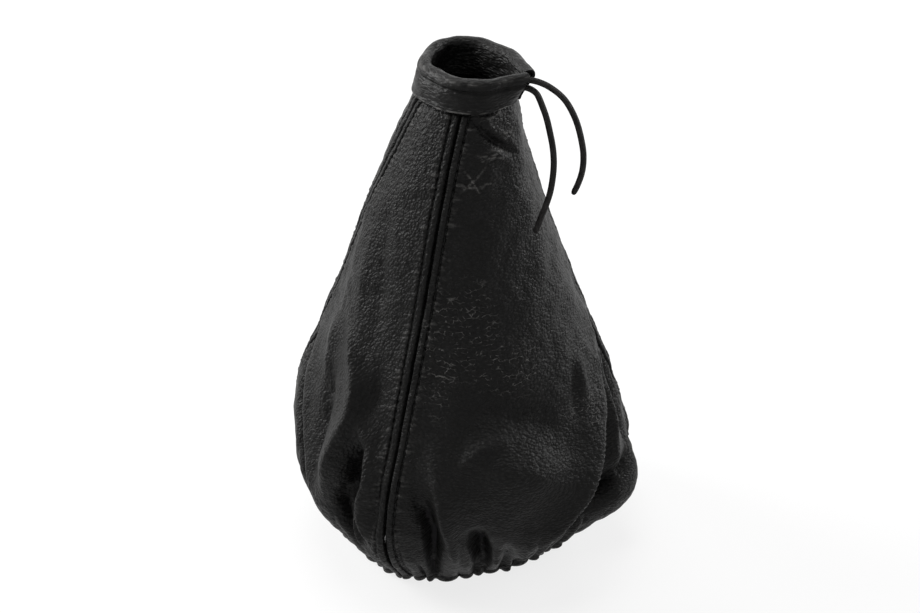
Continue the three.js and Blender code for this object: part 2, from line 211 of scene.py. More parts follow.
# Sharper folds, only here: the line of each from its top down as (angle, height), how far
# outwards, and its width in millimetres on its left and on its right
CREASES = [
    ([(-33, 80), (-36, 69), (-37, 60), (-37, 50), (-40, 36)], -11.0, 4.5, 3.0),
    ([(-37, 58), (-43, 46), (-43, 34), (-39, 22), (-35, 4)], -9.0, 3.5, 3.0),
    ([(-41, 46), (-38, 36), (-36, 26), (-33, 8)], 3.0, 2.0, 2.0),
    ([(-41, 92), (-34, 76), (-30, 62), (-31, 50), (-29, 36), (-25, 10)], 6.5, 2.4, 5.0),
    ([(-64, 130), (-50, 113), (-43, 101), (-42, 87), (-46, 72), (-49, 57), (-50, 38)], 5.0, 5.0, 3.5),
    ([(-66, 112), (-60, 94), (-58, 76), (-57, 60), (-55, 42)], -5.0, 5.0, 6.0),
    ([(-34, 116), (-34, 98), (-37, 84)], -3.0, 4.0, 5.0),
    ([(-50, 178), (-48, 158), (-42, 140), (-40, 124), (-42, 108)], -1.8, 5.0, 4.0),
    ([(-62, 166), (-58, 146), (-52, 128), (-46, 114)], 1.8, 7.0, 4.0),
    ([(-72, 122), (-66, 104), (-62, 88)], 2.4, 4.0, 5.0),
    ([(-94, 108), (-85, 84), (-78, 70), (-70, 56), (-65, 42), (-62, 20)], -12.0, 4.5, 4.0),
    ([(-88, 108), (-78, 81), (-71, 67), (-63, 53), (-57, 40), (-53, 16)], 5.0, 3.5, 8.0),
    ([(-25.5, 76), (-26, 60), (-26.5, 48), (-27.5, 36), (-28.5, 16)], -2.4, 2.4, 2.0),
    ([(-14, 66), (-11, 54), (-9, 44), (-8, 34), (-8, 20), (-9, 0)], -8.5, 3.5, 3.2),
    ([(-9, 86), (-6.5, 64), (-4, 48), (-2, 34), (0, 20), (1, 2)], 4.5, 2.6, 6.0),
    ([(5, 44), (8, 33), (10, 24), (12, 14), (13, 0)], -10.0, 4.0, 3.5),
    ([(17, 34), (20, 20), (22, 2)], -5.0, 2.5, 3.0),
    ([(12, 30), (15, 16), (16, 2)], 3.5, 2.5, 2.5),
    ([(29, 30), (29, 18), (28, 2)], -4.5, 2.5, 2.5),
    ([(-3, 64), (2, 74), (8, 81), (18, 84), (26, 85)], 2.2, 3.0, 2.5),
    ([(0, 96), (14, 94), (26, 90), (38, 84), (50, 74)], -4.0, 9.0, 9.0),
    ([(2, 78), (18, 71), (30, 65), (40, 52)], 6.5, 13.0, 12.0),
    ([(80, 108), (68, 84), (55, 68), (47, 56), (38, 43), (29, 30), (16, 6)], 7.0, 10.0, 2.4),
    ([(84, 104), (73, 82), (61, 66), (53, 53), (44, 40), (35, 27), (22, 2)], -15.0, 3.0, 8.0),
    ([(84, 46), (72, 40), (63, 34), (55, 27), (44, 16)], -10.0, 4.5, 5.0),
    ([(84, 42), (77, 27), (69, 16), (61, 8)], 4.0, 7.0, 8.0),
    ([(70, 74), (64, 60), (58, 48), (50, 36)], -4.0, 4.0, 6.0),
    ([(86, 118), (80, 90), (75, 68), (72, 52), (70, 36), (66, 14)], 4.5, 5.0, 3.0),
    ([(94, 112), (89, 86), (85, 68), (81, 54), (78, 42)], -8.0, 3.5, 4.0),
    ([(57, 108), (56, 97), (52, 88), (50, 76)], -2.0, 1.8, 2.2),
    ([(63, 108), (60, 96), (56, 82)], 1.8, 3.0, 3.0),
    ([(-74, 190), (-72, 160), (-66, 130)], 1.5, 5.0, 7.0),
    ([(-3, 223), (11, 216), (19, 212), (34, 206), (56, 198)], -3.0, 1.4, 2.2),
    ([(2, 226), (16, 217), (26, 212), (42, 206), (56, 202)], 1.6, 2.0, 2.0),
    ([(14, 208), (24, 204), (38, 200), (52, 195)], 1.4, 2.0, 2.0),
]

# Crinkled and scuffed places: angle, height, and how wide and how tall in millimetres
SCUFFS = [
    (-7, 122, 9, 28),
    (27, 112, 12, 12),
    (12, 130, 8, 22),
    (55, 84, 10, 9),
    (30, 202, 8, 2.6),
    (45, 209, 4, 2.4),
    (32, 217, 9, 1.6),
]

# Fine pale scratches: the line of each as (angle, height)
SCRATCHES = [
    [(2, 188), (10, 192), (21, 198)],
    [(4, 197), (10, 193), (16, 187)],
    [(0, 192), (8, 190), (20, 190)],
    [(16, 189), (24, 191), (27, 190)],
    [(12, 203), (24, 202), (36, 203), (44, 201)],
    [(16, 200), (28, 201), (40, 199)],
    [(22, 205), (30, 204), (38, 205)],
    [(38, 210), (44, 209), (52, 210)],
    [(40, 207), (47, 208), (54, 206)],
    [(14, 219), (24, 218), (34, 219), (46, 217)],
]

# The lace's two free ends, in metres, the same points as in the CAD
LONG_END = [
    (0.0249, -0.0121, 0.2277),
    (0.0268, -0.0131, 0.2278),
    (0.0286, -0.0140, 0.2276),
    (0.0316, -0.0153, 0.2258),
    (0.0327, -0.0157, 0.2238),
    (0.0336, -0.0160, 0.2216),
    (0.0356, -0.0171, 0.2163),
    (0.0374, -0.0180, 0.2092),
    (0.0388, -0.0192, 0.2021),
    (0.0393, -0.0202, 0.1954),
    (0.0389, -0.0214, 0.1888),
    (0.0377, -0.0226, 0.1818),
    (0.0360, -0.0238, 0.1766),
    (0.0339, -0.0252, 0.1714),
    (0.0328, -0.0262, 0.1685),
    (0.0316, -0.0273, 0.1654),
]
SHORT_END = [
    (0.0273, -0.0128, 0.2313),
    (0.0289, -0.0137, 0.2314),
    (0.0306, -0.0145, 0.2314),
    (0.0342, -0.0157, 0.2306),
    (0.0361, -0.0159, 0.2297),
    (0.0378, -0.0160, 0.2286),
    (0.0416, -0.0160, 0.2255),
    (0.0437, -0.0160, 0.2231),
    (0.0455, -0.0160, 0.2203),
    (0.0471, -0.0160, 0.2172),
    (0.0485, -0.0160, 0.2139),
    (0.0509, -0.0160, 0.2055),
    (0.0522, -0.0160, 0.1974),
    (0.0518, -0.0160, 0.1893),
    (0.0502, -0.0160, 0.1835),
    (0.0482, -0.0160, 0.1787),
]

# The camera stands where the photograph was taken from
CAMERA_ELEVATION = 29.4
CAMERA_DISTANCE = 0.978
CAMERA_AIM = (-0.001, 0.0, 0.1135)
CAMERA_LENS = 83.8

# Lamps: name, place in metres, size in metres, power in watts
LAMPS = [
    ("left_side", (-1.5, 0.45, 0.9), 0.9, 43),
    ("overhead", (-0.1, 0.4, 1.7), 1.0, 18),
    ("right_side", (1.5, 0.85, 0.7), 0.9, 22),
    ("behind", (0.0, 1.6, 0.8), 1.6, 8),
]
LAMP_AIM = (0, 0, 0.1)
SKY_LIGHT = 0.15
FLOOR_SIZE = 8
FLOOR_TONE = 0.85
FLOOR_GLOW = 0.8

# The leather's looks: cells to a metre, how high each layer is against the pebbles, and
# the deepest bump in metres
PEBBLES = 480.0
FINE_PEBBLES = 1150.0
CREASE_CELLS = 210.0
WEB_CELLS = 330.0
FINE_HEIGHT = 0.35
CREASE_HEIGHT = -1.2
BROAD_HEIGHT = 1.4
WEB_HEIGHT = 0.8
GRAIN_DEPTH = 0.0006
LEATHER_SHINE = 0.085
THREAD_TWIST = 35


# The gaiter's form, the same as in the CAD
def bell(x, width):
    return np.exp(-((x / width) ** 2))


def turn(angle):
    return (angle + 180.0) % 360.0 - 180.0


def mix(a, b, share):
    return a + (b - a) * share


def dents_at(dents, angle):
    return sum(out * bell(turn(angle - at), wide) for at, out, wide in dents)


def profile(z):
    rise = np.clip(z, 0, BELLY_HEIGHT) / BELLY_HEIGHT
    low = HEM_RADIUS + (BELLY_RADIUS - HEM_RADIUS) * np.sin(np.pi / 2 * rise)
    bend = SHOULDER_HEIGHT - BELLY_HEIGHT
    drop = CONE_SLOPE * bend / 2
    middle_part = BELLY_RADIUS - drop * ((z - BELLY_HEIGHT) / bend) ** 2
    climb = np.minimum((z - SHOULDER_HEIGHT) / (NECK_HEIGHT - SHOULDER_HEIGHT), 1)
    sag = CONE_SAG * np.sin(np.pi * climb)
    high = BELLY_RADIUS - drop - CONE_SLOPE * (z - SHOULDER_HEIGHT) - sag
    return np.where(z < BELLY_HEIGHT, low, np.where(z < SHOULDER_HEIGHT, middle_part, high))


def neck_outline(angle, z):
    a = np.radians(angle)
    oval = 1 / np.hypot(np.sin(a) / NECK_HALF_WIDTH, np.cos(a) / NECK_HALF_DEPTH)
    rise = np.clip((z - NECK_HEIGHT) / (ROLL_HEIGHT - NECK_HEIGHT), 0, 1)
    reach = mix(CORNER_START, CORNER_REACH, rise)
    return oval + dents_at(NECK_DENTS, angle) + reach * bell(turn(angle - SLIT_ANGLE), CORNER_SPREAD)


def fold_depth(angle, z):
    depth = dents_at(HEM_DENTS, angle) * bell(z, BELLY_HEIGHT)
    for at, height, out, wide, tall, lean in FOLDS:
        across = turn(angle - at - lean * (z - height))
        depth = depth + out * bell(across, wide) * bell(z - height, tall)
    return depth


def outwards(angle):
    a = np.radians(angle)
    return np.stack([np.sin(a), -np.cos(a), np.zeros_like(a)], -1)


def skin(angle, z):
    """Points of the panels' grain face, and of the same surface carried on up to the crest"""
    angle, z = np.broadcast_arrays(np.asarray(angle, float), np.asarray(z, float))
    lean = np.clip((z - LEAN_HEIGHT) / (COLLAR_TOP - LEAN_HEIGHT), 0, 1) ** LEAN_CURVE
    middle = np.stack([BODY_SHIFT + NECK_LEAN[0] * lean, NECK_LEAN[1] * lean, z], -1)
    share = np.clip((z - NECK_BLEND_HEIGHT) / (NECK_HEIGHT - NECK_BLEND_HEIGHT), 0, 1) ** 2
    change = neck_outline(angle, z) - profile(np.float64(NECK_HEIGHT))
    radius = profile(np.minimum(z, NECK_HEIGHT)) + change * share + fold_depth(angle, z)
    return middle + outwards(angle) * radius[..., None]


def unit(v):
    return v / np.linalg.norm(v, axis=-1, keepdims=True)


def skin_normal(angle, z):
    angle, z = np.broadcast_arrays(np.asarray(angle, float), np.asarray(z, float))
    around = skin(angle + 0.5, z) - skin(angle - 0.5, z)
    up = skin(angle, z + 0.5) - skin(angle, z - 0.5)
    up = np.where((z >= NECK_HEIGHT)[..., None], [0.0, 0.0, 1.0], up)
    return unit(np.cross(around, up))


def seam_angle(seam, z):
    top, bottom, bow = SEAMS[seam]
    share = np.clip(z / NECK_HEIGHT, 0, 1)
    return mix(bottom, top, share) + bow * np.sin(np.pi * share)


def millimetre(angle, z):
    """The turn in degrees that a millimetre along the leather makes"""
    return 1 / np.linalg.norm(skin(angle + 0.5, z) - skin(angle - 0.5, z), axis=-1)


def add_camera():
    data = bpy.data.cameras.new("camera")
    data.lens = CAMERA_LENS
    data.sensor_width = 36
    data.clip_start = 0.05
    camera = bpy.data.objects.new("camera", data)
    tilt = math.radians(CAMERA_ELEVATION)
    back = Vector((0, -math.cos(tilt), math.sin(tilt)))
    camera.location = Vector(CAMERA_AIM) + CAMERA_DISTANCE * back
    camera.rotation_euler = (math.pi / 2 - tilt, 0, 0)
    bpy.context.collection.objects.link(camera)
    bpy.context.scene.camera = camera


# Mesh building
def mesh_object(name, points, faces, materials, attributes, face_slots=None):
    """points in millimetres. attributes is {name: one value or vector for each point}"""
    mesh = bpy.data.meshes.new(name)
    mesh.from_pydata((np.asarray(points) * MM).tolist(), [], faces)
    for material in materials:
        mesh.materials.append(material)
    if face_slots is not None:
        mesh.polygons.foreach_set("material_index", face_slots)
    mesh.polygons.foreach_set("use_smooth", [True] * len(mesh.polygons))
    for key, values in attributes.items():
        values = np.asarray(values, np.float32)
        vector = values.ndim == 2
        made = mesh.attributes.new(key, "FLOAT_VECTOR" if vector else "FLOAT", "POINT")
        made.data.foreach_set("vector" if vector else "value", values.ravel())
    work = bmesh.new()
    work.from_mesh(mesh)
    bmesh.ops.recalc_face_normals(work, faces=work.faces)
    work.to_mesh(mesh)
    work.free()
    obj = bpy.data.objects.new(name, mesh)
    bpy.context.collection.objects.link(obj)
    return obj


def grid_faces(rows, columns, first=0):
    k = first + np.arange(rows - 1)[:, None] * columns + np.arange(columns - 1)[None, :]
    return np.stack([k, k + 1, k + 1 + columns, k + columns], -1).reshape(-1, 4).tolist()


def border(rows, columns, first=0):
    """The places round a grid's edge, in order, as four sides"""
    k = first + np.arange(rows * columns).reshape(rows, columns)
    return [k[0], k[:, -1], k[-1, ::-1], k[::-1, 0]]


def shell_faces(rows, columns):
    """Faces of a closed shell: a fine outer grid, a second one of half as many rows and
    columns, and strips that join their borders. Returns the faces and each one's side."""
    half_rows, half_columns = (rows + 1) // 2, (columns + 1) // 2
    outer = grid_faces(rows, columns)
    inner = grid_faces(half_rows, half_columns, rows * columns)
    joins = []
    for fine, coarse in zip(border(rows, columns), border(half_rows, half_columns, rows * columns)):
        for i in range(len(coarse) - 1):
            a, b, c = (int(n) for n in fine[2 * i : 2 * i + 3])
            d, e = int(coarse[i]), int(coarse[i + 1])
            joins += [[a, b, d], [b, e, d], [b, c, e]]
    sides = [0] * len(outer) + [1] * (len(inner) + len(joins))
    return outer + inner + joins, sides


def shell_values(grid):
    """A grid's values at the outer points of a shell, then at its inner ones"""
    parts = [part.reshape(part.shape[0] * part.shape[1], -1) for part in (grid, grid[::2, ::2])]
    return np.squeeze(np.concatenate(parts))


def run_along(path):
    """The distance along a path to each of its points"""
    return np.concatenate([[0], np.cumsum(np.linalg.norm(np.diff(path, axis=0), axis=1))])


def tube_rings(centre, across, over, along, radius, sides):
    """Rings of points round a line, and where each point lies on the hide. radius is one
    value or one for each ring."""
    turns = np.linspace(0, 2 * np.pi, sides, endpoint=False)
    radius = np.broadcast_to(np.asarray(radius, float), len(centre))[:, None]
    around = np.cos(turns)[None, :, None] * across[:, None]
    around = around + np.sin(turns)[None, :, None] * over[:, None]
    points = centre[:, None] + radius[..., None] * around
    hide = np.broadcast_arrays(turns[None, :] * radius, along[:, None], np.zeros((1, 1)))
    return points.reshape(-1, 3), np.stack(hide, -1).reshape(-1, 3) * MM


def tube_faces(count, sides, ring=False, first=0):
    """Faces of a tube of so many rings, closed into a ring or capped at both ends"""
    faces = []
    for i in range(count if ring else count - 1):
        a, b = first + i * sides, first + (i + 1) % count * sides
        for k in range(sides):
            m = (k + 1) % sides
            faces.append([a + k, a + m, b + m, b + k])
    if not ring:
        faces.append([first + k for k in range(sides)])
        faces.append([first + (count - 1) * sides + k for k in range(sides)])
    return faces


def tube_mesh(name, path, radius, sides, material, ring=False, up=(0, 0, 1)):
    """A round tube along points in millimetres. radius is one value or one for each point."""
    path = np.asarray(path, float)
    if ring:
        ahead = np.roll(path, -1, 0) - np.roll(path, 1, 0)
    else:
        ahead = np.gradient(path, axis=0)
    ahead = unit(ahead)
    across = unit(np.cross(ahead, np.asarray(up, float)))
    over = np.cross(across, ahead)
    points, hide = tube_rings(path, across, over, run_along(path), radius, sides)
    faces = tube_faces(len(path), sides, ring)
    return mesh_object(name, points, faces, [material], {"hide": hide})


def smooth_path(points, spacing):
    """A smooth line through the points, sampled every so many millimetres"""
    points = np.asarray(points, float)
    at = run_along(points)
    slopes = np.gradient(points, at, axis=0)
    fine = np.linspace(0, at[-1], int(at[-1] / spacing) + 2)
    k = np.clip(np.searchsorted(at, fine, side="right") - 1, 0, len(points) - 2)
    steps = np.linalg.norm(np.diff(points, axis=0), axis=1)
    length = steps[k][:, None]
    t = ((fine - at[k]) / steps[k])[:, None]
    return (
        (2 * t**3 - 3 * t**2 + 1) * points[k]
        + (t**3 - 2 * t**2 + t) * length * slopes[k]
        + (3 * t**2 - 2 * t**3) * points[k + 1]
        + (t**3 - t**2) * length * slopes[k + 1]
    )


# Materials
def new_material(name):
    material = bpy.data.materials.new(name)
    material.use_nodes = True
    tree = material.node_tree
    return material, tree, tree.nodes["Principled BSDF"]


def set_inputs(tree, node, values):
    """Each value is a number, a vector, a colour or another node's output"""
    for key, value in values.items():
        if isinstance(value, bpy.types.NodeSocket):
            tree.links.new(value, node.inputs[key])
        else:
            node.inputs[key].default_value = value


def add_node(tree, kind, inputs, **settings):
    node = tree.nodes.new(kind)
    for key, value in settings.items():
        setattr(node, key, value)
    set_inputs(tree, node, inputs)
    return node


def math_node(tree, operation, a, b):
    return add_node(tree, "ShaderNodeMath", {0: a, 1: b}, operation=operation).outputs[0]


def product(tree, a, b):
    return math_node(tree, "MULTIPLY", a, b)


def ramp(tree, value, low, high, start=0.0, end=1.0):
    """value from low to high becomes start to end"""
    ends = {"Value": value, "From Min": low, "From Max": high, "To Min": start, "To Max": end}
    return add_node(tree, "ShaderNodeMapRange", ends).outputs[0]


def attribute(tree, name, output="Fac"):
    return add_node(tree, "ShaderNodeAttribute", {}, attribute_name=name).outputs[output]


def mapped(tree, place, stretch, turned=0.0):
    """Places stretched, and turned by so many radians"""
    inputs = {"Vector": place, "Scale": stretch, "Rotation": (0, 0, turned)}
    return add_node(tree, "ShaderNodeMapping", inputs).outputs[0]


def hide_coordinates(tree, stretch=(1, 1, 1), turned=0.0):
    """Places on the hide, in metres, stretched and turned by so many degrees"""
    return mapped(tree, attribute(tree, "hide", "Vector"), stretch, math.radians(turned))


def noise(tree, place, size_mm, detail=2.0, roughness=0.5):
    inputs = {"Vector": place, "Scale": 1000 / size_mm, "Detail": detail, "Roughness": roughness}
    return add_node(tree, "ShaderNodeTexNoise", inputs).outputs[0]


def colour_between(tree, share, dark, light):
    """light is a colour, and dark a colour or another node's output"""
    dark = dark if isinstance(dark, bpy.types.NodeSocket) else (*dark, 1)
    inputs = {0: share, 6: dark, 7: (*light, 1)}
    return add_node(tree, "ShaderNodeMix", inputs, data_type="RGBA").outputs[2]


def set_surface(tree, shader, colour, height, depth, roughness, shine):
    """depth is the bump's, in metres. colour and roughness may be other nodes' outputs."""
    bump = add_node(tree, "ShaderNodeBump", {"Height": height, "Distance": depth})
    looks = {"Base Color": colour, "Normal": bump.outputs[0], "Roughness": roughness}
    set_inputs(tree, shader, {**looks, "Specular IOR Level": shine})


def warped(tree, place):
    """The same places, each moved a little, so that cells aren't even"""
    inputs = {"Vector": place, "Scale": 400.0, "Detail": 2.0}
    warp = add_node(tree, "ShaderNodeTexNoise", inputs).outputs["Color"]
    inputs = {0: warp, "Scale": 0.002}
    shift = add_node(tree, "ShaderNodeVectorMath", inputs, operation="SCALE").outputs[0]
    return add_node(tree, "ShaderNodeVectorMath", {0: place, 1: shift}, operation="ADD").outputs[0]


def grain_cells(tree, place, to_metre, smoothness=1.0):
    """Round pebbles: 1 in the middle of each one, 0 between them"""
    inputs = {"Vector": place, "Scale": to_metre, "Smoothness": smoothness}
    cells = add_node(tree, "ShaderNodeTexVoronoi", inputs, feature="SMOOTH_F1")
    return ramp(tree, cells.outputs["Distance"], 0.1, 0.75, 1.0, 0.0)


def cell_borders(tree, place, to_metre, full, gone):
    """Lines between cells: 1 up to one distance from a border, 0 from the other on"""
    inputs = {"Vector": place, "Scale": to_metre}
    cells = add_node(tree, "ShaderNodeTexVoronoi", inputs, feature="DISTANCE_TO_EDGE")
    return ramp(tree, cells.outputs["Distance"], full, gone, 1.0, 0.0)


def scuff_lines(tree, place, moved):
    """A broken web of lines in the scuffed places"""
    turned = mapped(tree, moved, (0.75, 0.75, 1), 0.5)
    web = cell_borders(tree, turned, WEB_CELLS, 0.02, 0.07)
    streaks = mapped(tree, place, (0.4, 1.1, 1))
    broken = ramp(tree, noise(tree, streaks, 3.5), 0.5, 0.62)
    line = product(tree, web, broken)
    return product(tree, line, ramp(tree, attribute(tree, "scuffed"), 0.25, 0.7))


def grain_leather(name, stretch, grain, creased=0.5):
    """Black pebbled leather: round grain cells, fine creases between them, and a satin gloss"""
    material, tree, shader = new_material(name)
    place = hide_coordinates(tree, stretch)
    moved = warped(tree, place)
    pebble = grain_cells(tree, moved, PEBBLES, 0.4)
    fine = grain_cells(tree, moved, FINE_PEBBLES)
    where = ramp(tree, noise(tree, place, 14.0), 0.5, 0.66)
    cut = product(tree, cell_borders(tree, moved, CREASE_CELLS, 0.0, 0.09), where)
    crease = product(tree, cut, creased)
    web = scuff_lines(tree, place, moved)
    broad = noise(tree, place, 6.0, 3.0)
    layers = [(fine, FINE_HEIGHT), (crease, CREASE_HEIGHT), (broad, BROAD_HEIGHT), (web, WEB_HEIGHT)]
    height = pebble
    for layer, high in layers:
        height = math_node(tree, "ADD", height, product(tree, layer, high))
    # The colour varies at random and is darker between the pebbles: that darkening is painted shade in
    # the grain's hollows
    tone_and_pebble_shade = product(tree, noise(tree, place, 30.0), pebble)
    colour = colour_between(tree, tone_and_pebble_shade, (0.0055, 0.0054, 0.0052), (0.017, 0.0166, 0.0162))
    # Paler where the mesh's mark says so: real wear and scratches, and painted light, namely painted
    # highlights on the puckers and the collar's crest and lightened ruffles at the hem, which lie in
    # shade
    rubbed_and_lit = product(tree, attribute(tree, "worn"), ramp(tree, pebble, 0.0, 0.5))
    pale = math_node(tree, "MAXIMUM", rubbed_and_lit, web)
    colour = colour_between(tree, pale, colour, (0.12, 0.117, 0.113))
    gloss = ramp(tree, broad, 0.3, 0.7, 0.38, 0.48)
    set_surface(tree, shader, colour, height, GRAIN_DEPTH * grain, gloss, LEATHER_SHINE)
    return material


def flesh_side():
    """The inner face of the leather: dark and fibrous, with no gloss"""
    material, tree, shader = new_material("flesh_side")
    place = add_node(tree, "ShaderNodeTexCoord", {}).outputs["Object"]
    fibres = noise(tree, place, 1.2, 6.0, 0.7)
    colour = colour_between(tree, fibres, (0.006, 0.006, 0.0065), (0.022, 0.021, 0.022))
    set_surface(tree, shader, colour, fibres, 0.0004, 0.95, 0.1)
    return material


def slanted_bands(tree, turned, to_metre):
    """Bands that run slantwise round a thread or a cord"""
    inputs = {"Vector": hide_coordinates(tree, turned=turned), "Scale": to_metre}
    return add_node(tree, "ShaderNodeTexWave", inputs, bands_direction="Y").outputs["Fac"]


def sewing_thread():
    """Black bonded thread: a tight twist round the stitch"""
    material, tree, shader = new_material("sewing_thread")
    twist = slanted_bands(tree, THREAD_TWIST, 900.0)
    colour = colour_between(tree, twist, (0.002, 0.002, 0.002), (0.006, 0.006, 0.006))
    set_surface(tree, shader, colour, twist, 0.0001, 0.6, 0.3)
    return material


def cut_lace():
    """Round cut leather: long fibres and creases that twist round it"""
    material, tree, shader = new_material("cut_lace")
    place = hide_coordinates(tree, (1, 0.35, 1), 20)
    fibres = ramp(tree, noise(tree, place, 1.6, 5.0, 0.65), 0.35, 0.65)
    colour = colour_between(tree, fibres, (0.003, 0.0028, 0.0028), (0.03, 0.028, 0.027))
    set_surface(tree, shader, colour, fibres, 0.0003, 0.55, 0.12)
    return material


def covered_elastic():
    """Elastic cord in its braided cover"""
    material, tree, shader = new_material("covered_elastic")
    one = slanted_bands(tree, THREAD_TWIST, 500.0)
    two = slanted_bands(tree, -THREAD_TWIST, 500.0)
    braid = math_node(tree, "MAXIMUM", one, two)
    colour = colour_between(tree, braid, (0.006, 0.006, 0.006), (0.016, 0.016, 0.016))
    set_surface(tree, shader, colour, braid, 0.00015, 0.85, 0.5)
    return material


# The lace's two free ends
def add_lace_end(name, node, points, material):
    path = smooth_path(np.array(points) / MM, LACE_STEP)
    radius = np.full(len(path), LACE_RADIUS)
    radius[-3:] *= LACE_TIP
    piece = tube_mesh(name, path, radius, LACE_SIDES, material, up=(0, 1, 0))
    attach(piece, "root")
    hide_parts(node)


# Gathered hem: a ring of small ruffles of uneven widths, with one broad one at each seam
def hem_ruffles():
    """The angle where each ruffle starts, how far each one bulges, and how far it runs up"""
    random = np.random.default_rng(HEM_SEED)
    seam_turns = sorted(SEAMS[s][1] % 360 for s in SEAMS)
    starts = []
    for i, at in enumerate(seam_turns):
        until = seam_turns[(i + 1) % 4] + (360 if i == 3 else 0)
        starts.append(at - SEAM_RUFFLE)
        room = until - at - 2 * SEAM_RUFFLE
        widths = random.uniform(*RUFFLE_WIDTHS, int(room / RUFFLE_PITCH))
        widths = widths * room / widths.sum()
        starts += list(at + SEAM_RUFFLE + np.cumsum(widths) - widths)
    starts = np.sort(np.array(starts) % 360)
    count = len(starts)
    return starts, random.uniform(*RUFFLE_FULLNESS, count), random.uniform(*RUFFLE_RUN, count)


RUFFLES = hem_ruffles()


def ruffle_at(angle):
    """How full the ruffle is there, from 0 in the crease to about 1, and how far up it runs"""
    starts, fullness, reach = RUFFLES
    a = np.mod(angle, 360)
    k = (np.searchsorted(starts, a, side="right") - 1) % len(starts)
    start = starts[k]
    width = np.mod(starts[(k + 1) % len(starts)] - start, 360)
    share = np.clip(np.mod(a - start, 360) / width, 0, 1)
    return np.sin(np.pi * share) ** 0.55 * fullness[k], reach[k]


# Surface relief of the panels, in millimetres out of the grain face
def seam_relief(d):
    """Across a seam: a groove, a raised strip over the doubled leather, the sunk row of
    stitches, and a lip outside it. d is the distance from the seam."""
    groove = SEAM_GROOVE[0] * bell(d, SEAM_GROOVE[1])
    past_edge = np.exp(np.minimum((d - STRIP_EDGE[0]) / STRIP_EDGE[1], 50))
    strip = SEAM_STRIP[0] * (1 - bell(d, SEAM_STRIP[1])) / (1 + past_edge)
    row = SUNK_ROW[0] * bell(d - TOPSTITCH_OFFSET, SUNK_ROW[1])
    lip = SEAM_LIP[0] * bell(d - LIP_PLACE, SEAM_LIP[1])
    return groove + strip + row + lip


def stitch_holes(d, z):
    """Where the thread goes through the leather: a dimple at the end of each stitch"""
    along = np.clip(np.cos(2 * np.pi * z / STITCH_PITCH), 0, 1) ** 3
    return HOLE_DEPTH * bell(d - TOPSTITCH_OFFSET, SUNK_ROW[1]) * along


def line_distance(x, z, along_x, line_z):
    """From each point to a line, all in millimetres: the distance, the side (below 0 on the
    line's left as it runs down), and how far along the line the nearest place is"""
    lengths = np.hypot(np.diff(along_x), np.diff(line_z))
    so_far = np.concatenate([[0], np.cumsum(lengths)])
    best = np.full(x.shape, 1e9)
    side = np.zeros(x.shape)
    share = np.zeros(x.shape)
    for i, length in enumerate(lengths):
        step_x, step_z = along_x[i + 1] - along_x[i], line_z[i + 1] - line_z[i]
        dx, dz = x - along_x[i], z - line_z[i]
        t = np.clip((dx * step_x + dz * step_z) / length**2, 0, 1)
        dx, dz = dx - t * step_x, dz - t * step_z
        distance = np.hypot(dx, dz)
        closer = distance < best
        best = np.where(closer, distance, best)
        side = np.where(closer, step_x * dz - step_z * dx, side)
        share = np.where(closer, (so_far[i] + t * length) / so_far[-1], share)
    return best, side, share


def near_line(angle, z, line, reach):
    """Which points lie near a line, and for these the results of line_distance"""
    line = smooth_path(np.array(line, float), 4.0)
    middle = line[:, 0].mean()
    x = np.radians(turn(angle - middle)) * profile(z)
    along_x = np.radians(line[:, 0] - middle) * profile(line[:, 1])
    near = (x > along_x.min() - reach) & (x < along_x.max() + reach)
    near &= (z > line[:, 1].min() - reach) & (z < line[:, 1].max() + reach)
    return near, line_distance(x[near], z[near], along_x, line[:, 1])


def crease_relief(angle, z):
    """The sharper folds. Each one fades out at both ends of its line."""
    relief = np.zeros_like(z)
    for line, out, left, right in CREASES:
        near, (distance, side, share) = near_line(angle, z, line, 3 * max(left, right))
        width = np.where(side < 0, left, right)
        taper = np.sin(np.pi * np.clip(share, 0, 1)) ** 1.2
        relief[near] += out * taper * np.exp(-((distance / width) ** 1.7))
    return relief


def scratch_marks(angle, z):
    marks = np.zeros_like(z)
    for line in SCRATCHES:
        near, (distance, _, share) = near_line(angle, z, line, 2.0)
        fade = np.sin(np.pi * np.clip(share, 0.02, 0.98)) ** 0.5
        marks[near] = np.maximum(marks[near], fade * bell(distance, 0.32))
    return marks


def puckers(d, z, seed):
    """Short wrinkles out from a row of stitches"""
    random = np.random.default_rng(seed)
    relief = np.zeros_like(z)
    rows = z[:, z.shape[1] // 2]
    at = 4.0
    while at < NECK_HEIGHT - 2:
        at += random.uniform(*PUCKER_GAPS)
        high, reach = random.uniform(*PUCKER_HEIGHTS), random.uniform(*PUCKER_REACHES)
        thick, slope = random.uniform(*PUCKER_WIDTHS), random.uniform(*PUCKER_SLOPES)
        near = np.abs(rows - at) < 6
        if not near.any():
            continue
        along = d[near] - TOPSTITCH_OFFSET
        start = np.clip((along + 0.8) / 1.6, 0, 1)
        end = bell(np.maximum(along - 0.5, 0), reach)
        inside = 0.3 * bell(d[near] - 2.0, 1.2)
        across = z[near] - at - slope * along
        relief[near] += high * (start * end + inside) * bell(across, thick)
    return relief


def wobble(points, size, seed):
    """A smooth uneven field, mostly from -1 to 1, with bumps about so many millimetres across"""
    random = np.random.default_rng(seed)
    total = np.zeros(points.shape[:-1])
    for _ in range(WOBBLE_WAVES):
        direction = unit(random.normal(size=3))
        pitch = size * random.uniform(1.4, 3.0)
        total += np.cos(points @ direction * (2 * np.pi / pitch) + random.uniform(0, 2 * np.pi))
    return total / math.sqrt(WOBBLE_WAVES) * 0.7


def bumps(points, fields):
    """The sum of several such fields, each one of its own height"""
    return sum(high * wobble(points, size, seed) for high, size, seed in fields)


def below_collar(z):
    """1 where the panels show, 0 under the collar"""
    return np.clip((NECK_HEIGHT + 0.5 - z) / 3.0, 0, 1)


